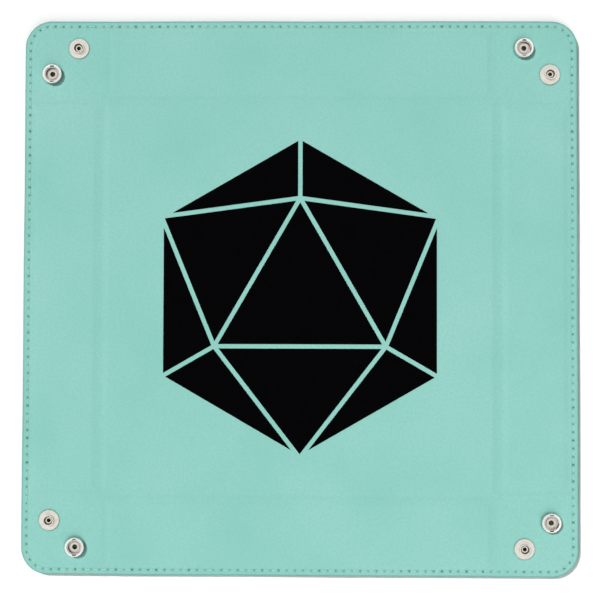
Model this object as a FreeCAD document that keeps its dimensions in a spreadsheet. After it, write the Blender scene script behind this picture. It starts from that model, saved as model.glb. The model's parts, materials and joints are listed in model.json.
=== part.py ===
"""Folding dice tray: a square of leatherette over greyboard that pinches and snaps up into a tray.

The tray lies open and flat, inner side up, centred on the origin, with its snap caps and padded panels
on z = 0. +Y points at the north wall. Two leatherette sheets are sewn together round the rim with five
boards between them: one in the base and one in each wall. The corners hold no board, so they fold.

The sheets run unbroken across the creases on the real tray. Here they are cut at each crease into the
stiff panels that the creases let turn: a base, four walls, two ears on each wall that make up the
corners, and a narrow fold edge along each corner's diagonal, where its two ears meet.
Every wall carries a stud on one ear and a socket on the other, in the same order all the way round.
"""

import FreeCAD, Part
import math
import os

import Sketcher

# Driving dimensions, in millimetres. They go into the spreadsheet, which everything else reads.
DIMENSIONS = {
    "tray_side": 228.6,  # across the open tray, 9 in
    "wall_height": 32.0,  # from the crease to the tray's edge
    "corner_radius": 11.0,
    "leather": 0.9,  # one leatherette sheet
    "board": 1.2,  # one greyboard
    "rim_low": 0.9,  # underside of the boardless rim and corners, as high as a snap cap stands proud
    "seam": 0.15,  # half the gap between two panels at a crease
    "board_setback": 2.5,  # crease to board
    "board_margin": 5.5,  # tray's edge to board
    "stitch_inset": 2.2,  # tray's edge to the stitch line
    "groove_width": 1.0,
    "groove_depth": 0.5,
    "thread_width": 0.5,
    "crease_lift": 0.8,  # a wall's crease turns this far above the rim's inner face
    "fold_gap": 0.6,  # a corner's diagonal to its fold edge
    "fold_width": 0.8,
    "snap_near": 11.5,  # snap centre to the tray edge that its wall ends in
    "snap_far": 22.3,  # snap centre to the tray edge round the corner
    "closed_gap": 3.0,  # between the inner faces of two ears snapped together
    "metal": 0.4,  # snap sheet metal
    "leather_hole": 1.65,  # punched in each sheet for a rivet
    "cap_radius": 5.0,
    "cap_dome": 0.6,
    "cap_rivet": 1.55,
    "cap_rivet_bore": 1.0,
    "cap_roll": 2.05,  # the rivet's rolled end, inside the socket
    "socket_radius": 3.95,
    "socket_height": 2.4,
    "socket_mouth": 2.95,
    "spring_radius": 2.8,
    "spring_wire": 0.25,
    "spring_opening": 50.0,  # degrees left open in the spring ring
    "slot_length": 1.5,
    "slot_width": 0.9,
    "slot_radius": 2.95,
    "stud_flange": 4.2,
    "stud_neck": 2.1,
    "stud_bulb": 2.25,
    "stud_bore": 1.85,
    "stud_height": 2.1,
    "eyelet_flange": 4.4,
    "eyelet_rivet": 1.25,
    "eyelet_bore": 0.8,
    "eyelet_roll": 1.38,
    "emblem_radius": 66.0,  # centre to corner of the printed hexagon
    "emblem_line": 0.9,  # half the bare line between two printed facets
    "ink": 0.1,
}

# Lengths worked out from the driving ones, as expressions for the document.
HALF = "dims.tray_side / 2"
CREASE = f"({HALF} - dims.wall_height)"  # centre to a wall's crease
ROUND = f"({HALF} - dims.corner_radius)"  # centre to the start of a corner's arc
BOARD_LOW = "dims.leather"
BOARD_HIGH = "(dims.leather + dims.board)"
PANEL_HIGH = "(2 * dims.leather + dims.board)"
RIM_MID = "(dims.rim_low + dims.leather)"
RIM_HIGH = "(dims.rim_low + 2 * dims.leather)"
# A wall turns up about a line crease_lift above the rim, and an ear turns out about its own outer face.
# With the tray closed, the ear stops half the closed gap short of the corner's middle plane.
EAR_CREASE = (
    f"({CREASE} + 2 * dims.leather + dims.crease_lift - sqrt(2) * (2 * dims.leather + dims.closed_gap / 2))"
)

WALLS = ("north", "east", "south", "west")  # clockwise from above, a quarter turn apart


def fill_spreadsheet(doc):
    """The driving dimensions as a sheet of plain numbers with aliases."""
    sheet = doc.addObject("Spreadsheet::Sheet", "dims")
    for row, (alias, value) in enumerate(DIMENSIONS.items(), start=1):
        sheet.set(f"A{row}", alias)
        sheet.set(f"B{row}", str(value))
        sheet.setAlias(f"B{row}", alias)
    doc.recompute()
    return sheet


# ---------------------------------------------------------------- outlines
# An outline is a closed list of corners (x, y, radius). Radius is None where the edge to the next corner
# is straight, and else the radius of its arc: "+" turns left and "-" turns right.


def polygon(*corners):
    return [(x, y, None) for x, y in corners]


def rectangle(x0, x1, y0, y1):
    return polygon((x0, y0), (x1, y0), (x1, y1), (x0, y1))


def mirrored(outline):
    """The outline on the other side of the Y axis, run backwards so that it still goes the same way round."""
    flipped = []
    for i in reversed(range(len(outline))):
        x, y, _ = outline[i]
        flipped.append((f"-({x})", y, outline[i - 1][2]))
    return flipped


def on_corner_arc(radius, offset):
    """Where an arc round the north-west corner's centre meets the line beside the diagonal."""
    along = f"sqrt(({radius})^2 - ({offset})^2)"
    x = f"-{ROUND} - ({along}) / sqrt(2) + ({offset}) / sqrt(2)"
    y = f"{ROUND} + ({along}) / sqrt(2) + ({offset}) / sqrt(2)"
    return x, y


def corner_strip(near, far, y_low):
    """Between two lines beside the north-west diagonal, from y_low out to the rounded corner."""
    near_x = f"({near}) * sqrt(2) - {y_low}"
    far_x = f"({far}) * sqrt(2) - {y_low}"
    return [
        (near_x, y_low, None),
        (far_x, y_low, None),
        (*on_corner_arc("dims.corner_radius", far), "+dims.corner_radius"),
        (*on_corner_arc("dims.corner_radius", near), None),
    ]


FOLD_FAR = "(dims.fold_gap + dims.fold_width)"
EAR_NEAR = "(dims.fold_gap + dims.fold_width + 2 * dims.seam)"
EAR_SIDE = f"(-{EAR_CREASE} - dims.seam)"


def ear_outline():
    """The ear at a wall's west end: from its crease round to the corner's diagonal."""
    return [
        (EAR_SIDE, f"{EAR_NEAR} * sqrt(2) - {EAR_SIDE}", None),
        (EAR_SIDE, HALF, None),
        (f"-{ROUND}", HALF, "+dims.corner_radius"),
        (*on_corner_arc("dims.corner_radius", EAR_NEAR), None),
    ]


def ear_band(width):
    """A band of that width along the stitch line of the ear at a wall's west end."""
    outer = f"(dims.stitch_inset - ({width}) / 2)"
    inner = f"(dims.stitch_inset + ({width}) / 2)"
    outer_arc = f"(dims.corner_radius - {outer})"
    inner_arc = f"(dims.corner_radius - {inner})"
    return [
        (EAR_SIDE, f"({HALF} - {inner})", None),
        (EAR_SIDE, f"({HALF} - {outer})", None),
        (f"-{ROUND}", f"({HALF} - {outer})", f"+{outer_arc}"),
        (*on_corner_arc(outer_arc, EAR_NEAR), None),
        (*on_corner_arc(inner_arc, EAR_NEAR), f"-{inner_arc}"),
        (f"-{ROUND}", f"({HALF} - {inner})", None),
    ]


def wall_outline():
    reach = f"({EAR_CREASE} - dims.seam)"
    return rectangle(f"-{reach}", reach, f"({CREASE} + dims.seam)", HALF)


def wall_board_outline(grow="0"):
    """A wall's board, or the pad that a sheet makes round it when it is grown."""
    reach = f"({EAR_CREASE} - dims.board_setback + {grow})"
    low = f"({CREASE} + dims.board_setback - {grow})"
    return rectangle(f"-{reach}", reach, low, f"({HALF} - dims.board_margin + {grow})")


def wall_band(width):
    reach = f"({EAR_CREASE} - dims.seam)"
    inner = f"({HALF} - dims.stitch_inset - ({width}) / 2)"
    outer = f"({HALF} - dims.stitch_inset + ({width}) / 2)"
    return rectangle(f"-{reach}", reach, inner, outer)


def base_outline():
    reach = f"({CREASE} - dims.seam)"
    return rectangle(f"-{reach}", reach, f"-{reach}", reach)


def base_board_outline(grow="0"):
    reach = f"({CREASE} - dims.board_setback + {grow})"
    return rectangle(f"-{reach}", reach, f"-{reach}", reach)


def circle_outline(x, y, radius):
    """A whole circle as two arcs."""
    arc = f"+{radius}"
    return [(f"{x} + {radius}", y, arc), (f"{x} - {radius}", y, arc)]


# ---------------------------------------------------------------- sketches and features


def draw(sketch, outline):
    """Adds one closed outline to a sketch, every corner held by expressions."""
    points = [FreeCAD.Vector(sketch.evalExpression(x), sketch.evalExpression(y), 0) for x, y, _ in outline]
    edges = []
    for i, (_, _, radius) in enumerate(outline):
        start, end = points[i], points[(i + 1) % len(points)]
        if radius is None:
            edges.append((sketch.addGeometry(Part.LineSegment(start, end)), 1, 2))
            continue
        size, left = sketch.evalExpression(radius[1:]), radius[0] == "+"
        chord = end - start
        rise = math.sqrt(max(0.0, size**2 - (chord.Length / 2) ** 2))
        side = FreeCAD.Vector(-chord.y, chord.x, 0).normalize() * (1 if left else -1)
        centre = (start + end) * 0.5 + side * rise
        first, last = (start, end) if left else (end, start)
        a0 = math.atan2(first.y - centre.y, first.x - centre.x)
        a1 = math.atan2(last.y - centre.y, last.x - centre.x)
        if a1 <= a0:
            a1 += 2 * math.pi
        arc = Part.ArcOfCircle(Part.Circle(centre, FreeCAD.Vector(0, 0, 1), size), a0, a1)
        edges.append((sketch.addGeometry(arc), 1 if left else 2, 2 if left else 1))
    for i, (edge, _, end) in enumerate(edges):
        following, start, _ = edges[(i + 1) % len(edges)]
        sketch.addConstraint(Sketcher.Constraint("Coincident", edge, end, following, start))
    whole_circle = len(outline) == 2
    for (x, y, radius), (edge, start, _), point in zip(outline, edges, points):
        for kind, expression, value in (("DistanceX", x, point.x), ("DistanceY", y, point.y)):
            index = sketch.addConstraint(Sketcher.Constraint(kind, -1, 1, edge, start, value))
            sketch.setExpression(f"Constraints[{index}]", expression)
        if radius is not None and not whole_circle:
            value = sketch.evalExpression(radius[1:])
            index = sketch.addConstraint(Sketcher.Constraint("Radius", edge, value))
            sketch.setExpression(f"Constraints[{index}]", radius[1:])


def add_sketch(body, name, outlines, plane="XY_Plane", lift=None):
    """A sketch on one of the body's own planes, lifted along the plane's normal if asked."""
    sketch = body.newObject("Sketcher::SketchObject", name)
    origin_plane = next(f for f in body.Origin.OriginFeatures if f.Role == plane)
    sketch.AttachmentSupport = [(origin_plane, "")]
    sketch.MapMode = "FlatFace"
    if lift is not None:
        sketch.setExpression(".AttachmentOffset.Base.z", lift)
    for outline in outlines:
        draw(sketch, outline)
    return sketch


def pad(body, outlines, low, high):
    """Adds material inside the outlines from height low to height high."""
    number = len(body.Group)
    sketch = add_sketch(body, f"{body.Name}_sketch_{number}", outlines, lift=low)
    feature = body.newObject("PartDesign::Pad", f"{body.Name}_pad_{number}")
    feature.Profile = sketch
    feature.setExpression("Length", f"{high} - {low}")
    body.Document.recompute()
    return feature


def pocket(body, outlines, low, high):
    """Cuts away what is inside the outlines from height low to height high, and proves that it cut."""
    before = body.Shape.Volume
    number = len(body.Group)
    sketch = add_sketch(body, f"{body.Name}_sketch_{number}", outlines, lift=low)
    feature = body.newObject("PartDesign::Pocket", f"{body.Name}_pocket_{number}")
    feature.Profile = sketch
    feature.Reversed = True
    feature.setExpression("Length", f"{high} - {low}")
    body.Document.recompute()
    if body.Shape.Volume >= before:
        raise RuntimeError(f"{feature.Name} cuts nothing")
    return feature


def revolve(body, outline):
    """Turns a closed (radius, height) outline once round the body's Z axis."""
    number = len(body.Group)
    sketch = add_sketch(body, f"{body.Name}_sketch_{number}", [outline], plane="XZ_Plane")
    feature = body.newObject("PartDesign::Revolution", f"{body.Name}_revolution_{number}")
    feature.Profile = sketch
    feature.ReferenceAxis = (sketch, ["V_Axis"])
    feature.Angle = 360
    body.Document.recompute()
    return feature


def new_body(doc, label):
    body = doc.addObject("PartDesign::Body", label)
    body.Label = label
    return body


def turn(piece, quarter):
    """Moves a north piece to the wall that many quarter turns clockwise."""
    piece.Placement = FreeCAD.Placement(
        FreeCAD.Vector(0, 0, 0), FreeCAD.Rotation(FreeCAD.Vector(0, 0, 1), -90.0 * quarter)
    )


def place(piece, x, y, quarter):
    """Puts a piece of snap hardware at (x, y) of the north wall, turned to its own wall."""
    for _ in range(quarter):
        x, y = y, f"-({x})"
    piece.setExpression(".Placement.Base.x", x)
    piece.setExpression(".Placement.Base.y", y)


# ---------------------------------------------------------------- base


def build_base(doc):
    outer = new_body(doc, "base_outer_leather")
    pad(outer, [base_outline()], "dims.rim_low", RIM_MID)
    pad(outer, [base_board_outline("dims.leather")], "0", RIM_MID)
    pocket(outer, [base_board_outline()], BOARD_LOW, PANEL_HIGH)

    board = new_body(doc, "base_board")
    pad(board, [base_board_outline()], BOARD_LOW, BOARD_HIGH)

    inner = new_body(doc, "base_inner_leather")
    pad(inner, [base_outline()], RIM_MID, RIM_HIGH)
    pad(inner, [base_board_outline("dims.leather")], RIM_MID, PANEL_HIGH)
    pocket(inner, [base_board_outline()], "dims.leather", BOARD_HIGH)
    return [outer, board, inner]


def facet(corners, line):
    """A printed triangle: its corners drawn in towards its incentre, to leave bare lines between facets."""
    points = [FreeCAD.Vector(x, y, 0) for x, y in corners]
    sides = [(points[i - 1] - points[i - 2]).Length for i in range(3)]  # each opposite its corner
    area = (points[1] - points[0]).cross(points[2] - points[0]).Length / 2
    incentre = FreeCAD.Vector()
    for point, opposite in zip(points, sides):
        incentre += point * (opposite / sum(sides))
    kept = 1 - line * sum(sides) / (2 * area)
    return [incentre + (point - incentre) * kept for point in points]


def build_emblem(doc, sheet):
    """A twenty-sided die seen face on, printed as black facets with bare lines between them."""
    size = sheet.emblem_radius
    golden_ratio = (1 + math.sqrt(5)) / 2

    def ring(radius, count):
        turns = [math.radians(360 / count * i) for i in range(count)]
        return [(radius * math.sin(turn), radius * math.cos(turn)) for turn in turns]

    outer, front = ring(size, 6), ring(size / golden_ratio, 3)
    facets = [front]
    for i, corner in enumerate(front):
        tip, left, right = outer[2 * i], outer[2 * i - 1], outer[2 * i + 1]
        facets += [[corner, left, tip], [corner, tip, right], [corner, right, front[(i + 1) % 3]]]
    low = FreeCAD.Vector(0, 0, 2 * sheet.leather + sheet.board)
    prisms = []
    for corners in facets:
        drawn = [point + low for point in facet(corners, sheet.emblem_line)]
        face = Part.Face(Part.makePolygon([*drawn, drawn[0]]))
        prisms.append(face.extrude(FreeCAD.Vector(0, 0, sheet.ink)))
    emblem = doc.addObject("Part::Feature", "base_emblem")
    emblem.Label = "base_emblem"
    emblem.Shape = Part.makeCompound(prisms)
    return [emblem]


# ---------------------------------------------------------------- walls and corners


def build_wall(doc, wall, quarter):
    outer = new_body(doc, f"{wall}_wall_outer_leather")
    pad(outer, [wall_outline()], "dims.rim_low", RIM_MID)
    pad(outer, [wall_board_outline("dims.leather")], "0", RIM_MID)
    pocket(outer, [wall_board_outline()], BOARD_LOW, PANEL_HIGH)
    groove_top = "(dims.rim_low + dims.groove_depth)"
    pocket(outer, [wall_band("dims.groove_width")], "dims.rim_low", groove_top)

    board = new_body(doc, f"{wall}_wall_board")
    pad(board, [wall_board_outline()], BOARD_LOW, BOARD_HIGH)

    inner = new_body(doc, f"{wall}_wall_inner_leather")
    pad(inner, [wall_outline()], RIM_MID, RIM_HIGH)
    pad(inner, [wall_board_outline("dims.leather")], RIM_MID, PANEL_HIGH)
    pocket(inner, [wall_board_outline()], "dims.leather", BOARD_HIGH)
    groove_floor = f"({RIM_HIGH} - dims.groove_depth)"
    pocket(inner, [wall_band("dims.groove_width")], groove_floor, RIM_HIGH)

    thread = new_body(doc, f"{wall}_wall_thread")
    pad(thread, [wall_band("dims.thread_width")], "dims.rim_low", groove_top)
    pad(thread, [wall_band("dims.thread_width")], groove_floor, RIM_HIGH)

    pieces = [outer, board, inner, thread]
    for piece in pieces:
        turn(piece, quarter)
    return pieces


def build_ear(doc, name, side, quarter):
    """One ear with its two sheets, its stitching and its fold edge. side is mirrored for an east end."""
    groove_top = "(dims.rim_low + dims.groove_depth)"
    groove_floor = f"({RIM_HIGH} - dims.groove_depth)"
    hole = circle_outline(f"(dims.snap_far - {HALF})", f"({HALF} - dims.snap_near)", "dims.leather_hole")
    outer_sheet = ("dims.rim_low", RIM_MID, "dims.rim_low", groove_top)
    inner_sheet = (RIM_MID, RIM_HIGH, groove_floor, RIM_HIGH)
    layers = []
    for number, (low, high, groove_low, groove_high) in enumerate([outer_sheet, inner_sheet]):
        layer = new_body(doc, f"{name}_ear_layer_{number}")
        pad(layer, [side(ear_outline())], low, high)
        pocket(layer, [side(hole)], low, high)
        pocket(layer, [side(ear_band("dims.groove_width"))], groove_low, groove_high)
        layers.append(layer)
    leather = doc.addObject("Part::Compound", f"{name}_ear_leather")
    leather.Label = f"{name}_ear_leather"
    leather.Links = layers

    thread = new_body(doc, f"{name}_ear_thread")
    pad(thread, [side(ear_band("dims.thread_width"))], "dims.rim_low", groove_top)
    pad(thread, [side(ear_band("dims.thread_width"))], groove_floor, RIM_HIGH)

    fold = new_body(doc, f"{name}_fold_leather")
    strip = side(corner_strip("dims.fold_gap", FOLD_FAR, f"({CREASE} + dims.seam)"))
    pad(fold, [strip], "dims.rim_low", RIM_HIGH)

    pieces = [leather, thread, fold]
    for piece in pieces:
        turn(piece, quarter)
    return pieces


# ---------------------------------------------------------------- snap hardware, on its own Z axis


def build_cap(doc, label):
    """The socket's back half: a domed cap whose hollow rivet is rolled over inside the socket."""
    cap = new_body(doc, label)
    roll_low = f"({RIM_HIGH} + dims.metal)"
    dome = "+((dims.cap_radius^2 + dims.cap_dome^2) / (2 * dims.cap_dome))"
    revolve(
        cap,
        [
            ("0", "0", dome),
            ("dims.cap_radius", "dims.cap_dome", None),
            ("dims.cap_radius", "dims.rim_low - 0.12", None),
            ("dims.cap_radius - 0.12", "dims.rim_low", None),
            ("dims.cap_rivet", "dims.rim_low", None),
            ("dims.cap_rivet", roll_low, None),
            ("dims.cap_roll - 0.12", roll_low, "+0.15"),
            ("dims.cap_roll - 0.12", f"{roll_low} + 0.3", None),
            ("dims.cap_rivet_bore + 0.15", f"{roll_low} + 0.3", "+0.15"),
            ("dims.cap_rivet_bore", f"{roll_low} + 0.15", None),
            ("dims.cap_rivet_bore", "dims.metal + 0.1", None),
            ("0", "dims.metal + 0.1", None),
        ],
    )
    return cap


def build_socket(doc, label):
    """The socket: a drawn cup with a rolled lip, two slots in its top and a ring spring under them."""
    shell = new_body(doc, f"{label}_shell")
    top = f"({RIM_HIGH} + dims.socket_height)"
    floor = f"({RIM_HIGH} + dims.metal)"
    ceiling = f"({top} - dims.metal)"
    inside = "dims.socket_radius - dims.metal"
    revolve(
        shell,
        [
            ("dims.cap_rivet", RIM_HIGH, None),
            ("dims.socket_radius - 0.3", RIM_HIGH, "+0.3"),
            ("dims.socket_radius", f"{RIM_HIGH} + 0.3", None),
            ("dims.socket_radius", f"{top} - 0.35", "+0.35"),
            ("dims.socket_radius - 0.35", top, None),
            ("dims.socket_mouth + 0.4", f"{top} - 0.1", "+0.3"),
            ("dims.socket_mouth", ceiling, None),
            (inside, ceiling, None),
            (inside, floor, None),
            ("dims.cap_rivet", floor, None),
        ],
    )
    near = "(dims.slot_radius - dims.slot_width / 2)"
    far = "(dims.slot_radius + dims.slot_width / 2)"
    reach = "(dims.slot_length / 2)"
    slots = [rectangle(f"-{reach}", reach, near, far), rectangle(f"-{reach}", reach, f"-{far}", f"-{near}")]
    pocket(shell, slots, ceiling, top)

    spring = new_body(doc, f"{label}_spring")
    middle = f"({ceiling} - dims.spring_wire - 0.05)"
    ring = circle_outline("dims.spring_radius", middle, "dims.spring_wire")
    feature = revolve(spring, ring)
    feature.setExpression("Angle", "360 - dims.spring_opening")

    socket = doc.addObject("Part::Compound", label)
    socket.Label = label
    socket.Links = [shell, spring]
    return socket


def build_stud(doc, label):
    """The stud: a round flange with a hollow, slightly bulbed post that the socket's spring closes on."""
    stud = new_body(doc, label)
    flange = f"({RIM_HIGH} + dims.metal)"
    top = f"({RIM_HIGH} + dims.stud_height)"
    revolve(
        stud,
        [
            ("dims.eyelet_rivet", RIM_HIGH, None),
            ("dims.stud_flange - 0.2", RIM_HIGH, "+0.2"),
            ("dims.stud_flange", f"{RIM_HIGH} + 0.2", "+0.2"),
            ("dims.stud_flange - 0.2", flange, None),
            ("dims.stud_neck + 0.3", f"{flange} + 0.05", "-0.3"),
            ("dims.stud_neck", f"{flange} + 0.35", None),
            ("dims.stud_bulb", f"{top} - 0.6", "+0.6"),
            ("dims.stud_bulb - 0.2", f"{top} - 0.1", "+0.25"),
            ("dims.stud_bore", f"{top} - 0.1", None),
            ("dims.stud_bore", flange, None),
            ("dims.eyelet_rivet", flange, None),
        ],
    )
    return stud


def build_eyelet(doc, label):
    """The stud's back half: an open eyelet whose tube is rolled over inside the stud."""
    eyelet = new_body(doc, label)
    roll_low = f"({RIM_HIGH} + dims.metal)"
    revolve(
        eyelet,
        [
            ("dims.eyelet_bore", "0.45", "-0.3"),
            ("dims.eyelet_bore + 0.3", "0.15", None),
            ("dims.eyelet_flange - 0.35", "0.3", "+0.35"),
            ("dims.eyelet_flange", "0.65", None),
            ("dims.eyelet_flange - 0.1", "dims.rim_low", None),
            ("dims.eyelet_rivet", "dims.rim_low", None),
            ("dims.eyelet_rivet", roll_low, None),
            ("dims.eyelet_roll", roll_low, None),
            ("dims.eyelet_roll", f"{roll_low} + 0.1", "+0.2"),
            ("dims.eyelet_roll - 0.2", f"{roll_low} + 0.3", None),
            ("dims.eyelet_bore + 0.15", f"{roll_low} + 0.3", "+0.15"),
            ("dims.eyelet_bore", f"{roll_low} + 0.15", None),
        ],
    )
    return eyelet


def build_snaps(doc, wall, quarter):
    """A stud near the wall's west end and a socket near its east end, each with its back half."""
    stud_x, socket_x = f"dims.snap_far - {HALF}", f"{HALF} - dims.snap_far"
    y = f"{HALF} - dims.snap_near"
    studs = [build_stud(doc, f"{wall}_stud"), build_eyelet(doc, f"{wall}_stud_eyelet")]
    sockets = [build_socket(doc, f"{wall}_socket"), build_cap(doc, f"{wall}_socket_cap")]
    for piece in studs:
        place(piece, stud_x, y, quarter)
    for piece in sockets:
        place(piece, socket_x, y, quarter)
    return studs + sockets


# ---------------------------------------------------------------- the whole tray


def build_tray(doc):
    sheet = fill_spreadsheet(doc)
    pieces = build_base(doc) + build_emblem(doc, sheet)
    for quarter, wall in enumerate(WALLS):
        pieces += build_wall(doc, wall, quarter)
        pieces += build_ear(doc, f"{wall}_stud", lambda outline: outline, quarter)
        pieces += build_ear(doc, f"{wall}_socket", mirrored, quarter)
        pieces += build_snaps(doc, wall, quarter)
    doc.recompute()
    return pieces


def check(doc, pieces):
    """Stops before anything is written if an object failed or a piece isn't a sound solid."""
    failed = [o.Name for o in doc.Objects if {"Invalid", "Error"} & set(o.State)]
    if failed:
        raise RuntimeError(f"these objects failed: {failed}")
    for piece in pieces:
        shape = piece.Shape
        if shape.isNull() or not shape.isValid() or not shape.Solids:
            raise RuntimeError(f"{piece.Label} has no valid solid")


def export(pieces):
    os.makedirs("parts", exist_ok=True)
    for piece in pieces:
        piece.Shape.exportStep(os.path.join("parts", f"{piece.Label}.step"))
        print(f"{piece.Label}: {len(piece.Shape.Solids)} solids, {piece.Shape.Volume:.1f} mm3")


document = FreeCAD.newDocument("folding_dice_tray")
tray = build_tray(document)
check(document, tray)
export(tray)
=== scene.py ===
"""Looks of the folding dice tray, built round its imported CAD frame.

The two leatherette sheets are one continuous skin, split where the tray folds: a base, four walls, the
short stretch across each ear's crease, and the ears, whose diagonals bend into round folds. Everything is
drawn once for the north wall and its west end, then mirrored to the east end and turned to the other walls.
Lengths are in millimetres until a mesh is made from them.
"""

import json
import math
import random

import bpy
import numpy as np
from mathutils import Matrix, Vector
from mathutils.geometry import delaunay_2d_cdt


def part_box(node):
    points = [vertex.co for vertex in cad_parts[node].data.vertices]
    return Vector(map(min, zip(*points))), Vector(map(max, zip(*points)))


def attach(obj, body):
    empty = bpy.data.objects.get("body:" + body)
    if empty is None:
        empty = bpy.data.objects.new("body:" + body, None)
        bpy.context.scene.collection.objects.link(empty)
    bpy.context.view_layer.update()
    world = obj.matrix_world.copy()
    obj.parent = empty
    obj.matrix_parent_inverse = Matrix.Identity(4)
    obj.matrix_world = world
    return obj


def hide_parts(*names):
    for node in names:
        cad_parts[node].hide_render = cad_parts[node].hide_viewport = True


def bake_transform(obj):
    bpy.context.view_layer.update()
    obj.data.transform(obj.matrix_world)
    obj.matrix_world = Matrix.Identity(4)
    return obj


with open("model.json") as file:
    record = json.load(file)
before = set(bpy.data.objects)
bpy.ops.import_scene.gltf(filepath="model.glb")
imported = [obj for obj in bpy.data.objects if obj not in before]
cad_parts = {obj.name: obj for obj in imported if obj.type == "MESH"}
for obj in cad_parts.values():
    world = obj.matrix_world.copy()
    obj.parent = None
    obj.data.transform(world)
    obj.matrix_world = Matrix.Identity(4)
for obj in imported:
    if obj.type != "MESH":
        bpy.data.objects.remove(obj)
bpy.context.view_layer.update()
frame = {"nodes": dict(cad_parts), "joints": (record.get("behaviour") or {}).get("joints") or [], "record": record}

MM = 0.001
WALLS = ("north", "east", "south", "west")
ENDS = (("stud", False), ("socket", True))  # the wall's west end, and its mirrored east end

# ---------------------------------------------------------------- sizes, read from the frame

JOINTS = {joint["name"]: joint for joint in frame["joints"]}


def millimetres(point):
    return [c / MM for c in point]


CREASE = millimetres(JOINTS["north_wall_fold"]["pos_m"])[1]
EAR = -millimetres(JOINTS["north_stud_ear_fold"]["pos_m"])[0]
HALF = millimetres(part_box("north_wall_inner_leather")[1])[1]
RIM_LOW = millimetres(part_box("north_stud_ear_leather")[0])[2]
RIM_HIGH = millimetres(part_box("north_stud_ear_leather")[1])[2]
RIM_MID = (RIM_LOW + RIM_HIGH) / 2
PANEL_HIGH = millimetres(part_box("base_inner_leather")[1])[2]
BASE_BOARD = millimetres(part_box("base_board")[1])[1]
WALL_BOARD_LOW = millimetres(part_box("north_wall_board")[0])[1]
WALL_BOARD_HIGH = millimetres(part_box("north_wall_board")[1])[1]
WALL_BOARD_END = millimetres(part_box("north_wall_board")[1])[0]

RADIUS = 11.0  # the tray's rounded corner
ROUND = HALF - RADIUS  # where its arc starts
STITCH_INSET = 2.2
STITCHES = 33  # from a wall's middle to the corner's diagonal
EDGE_LENGTH = ROUND + RADIUS * math.pi / 4  # the same stretch, along the outer edge
STITCH_LENGTH = ROUND + (RADIUS - STITCH_INSET) * math.pi / 4
PITCH = STITCH_LENGTH / STITCHES

# Where the skin is split. Bends lie inside one piece, and splits lie where both sides move together.
BEND = 2.0  # half the width of the bend at a wall's crease
FOLD_BEND = 3.0  # from a corner's diagonal to where its fold starts
BASE_REACH = CREASE - 3.5
STRIP_TOP = CREASE + BEND
WALL_END = EAR - 2.0
EAR_START = EAR + 2.0
RIVET_HOLE = 1.65  # through both sheets, under each snap
LIP = 0.25  # inset at which the top surface hands over to the edge's rounded profile


def rivet_centre(end, mirror):
    """The middle of the north wall's snap at that end, as it lies once mirrored to the west."""
    low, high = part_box(f"north_{end}")
    x, y, _ = millimetres((a + b) / 2 for a, b in zip(low, high))
    return (-x, y) if mirror else (x, y)


SNAP_CENTRE = rivet_centre("stud", False)  # on the north wall; mirroring and turning give the others

# Relief of the skin
GROOVE_DEPTH = 0.2  # pressed along the seam by the stitches
GROOVE_WIDTH = 0.55
HOLE_DEPTH = 0.5
HOLE_LONG = 0.55  # a needle hole along the seam, and across it
HOLE_WIDE = 0.27
EDGE_DROP = 0.12  # the faces round off this much at the cut edge
RIVET_PINCH = 3.9  # the snaps' metal presses the sheets together this far out
PINCH_DEPTH = 0.12
OUTSIDE_BOARD = -1.7  # the sheets' padding ends this far outside a board
TOP_SHOULDER = 1.1  # and reaches its full height this far inside it, above
BOTTOM_SHOULDER = 0.5  # and below

# What a crease does to the faces, as a dent and as painted shade: at the walls' creases, the ears' and the
# diagonals'
CREASE_DEPTHS = (0.05, 0.02, 0.015)
CREASE_SHADES = (0.035, 0.03, 0.02)

# How the surface is sampled
EDGE_ROWS = (0.5, 0.85, 1.3, 1.6, 1.8, 2.0, 2.2, 2.4, 2.6, 2.8, 3.2, 3.8, 4.4, 4.9, 5.4, 5.9, 6.5)
EDGE_STEP = 0.83  # between points along those rows, which lie that far inside the outer edge
CREASE_ROWS = tuple(BASE_REACH + 0.35 * i for i in range(26))  # along a wall's crease
RIVET_RINGS = (3.5, 3.9, 4.2, 4.5, 4.9, 5.4)  # radii round a snap
FOLD_ROWS = (0.3, 0.6, 0.9, 1.25, 1.6, 1.95, 2.3, 2.65, 3.0, 3.5, 4.2)  # beside a corner's diagonal
FLAT_STEP = 3.0  # along the straight splits of the flat panels
BEND_STEP = 0.35  # along the splits that cross a wall's bend
STRIP_STEP = 0.7  # along the splits beside it
SLANT_STEP = 0.4  # along the slanting split beside a diagonal's fold
DIAGONAL_STEP = 0.5  # along the diagonals


# ---------------------------------------------------------------- the flat pattern


def edge_point(u, inset):
    """The point u along the tray's edge, going west from the north wall's middle, and inset inside it."""
    if u <= ROUND:
        return (-u, HALF - inset)
    turn = (u - ROUND) / RADIUS
    reach = RADIUS - inset
    return (-ROUND - reach * math.sin(turn), ROUND + reach * math.cos(turn))


def stitch_place(i):
    """How far along the tray's edge needle hole i is; hole 0 lies half a pitch from the wall's middle."""
    reach = (i + 0.5) * PITCH
    return reach if reach <= ROUND else ROUND + (reach - ROUND) * RADIUS / (RADIUS - STITCH_INSET)


def stitch_point(i):
    """The middle of needle hole i."""
    return edge_point(stitch_place(i), STITCH_INSET)


def stitch_hole(i):
    """Needle hole i and the direction of the seam there, as x, y, along x and along y."""
    turn = max(0.0, (stitch_place(i) - ROUND) / RADIUS)
    return (*stitch_point(i), -math.cos(turn), -math.sin(turn))


def outer_inset(x, y):
    """How far inside the tray's edge points lie."""
    ax, ay = np.abs(x), np.abs(y)
    straight = HALF - np.maximum(ax, ay)
    arc = RADIUS - np.hypot(ax - ROUND, ay - ROUND)
    return np.where((ax > ROUND) & (ay > ROUND), arc, straight)


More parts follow.
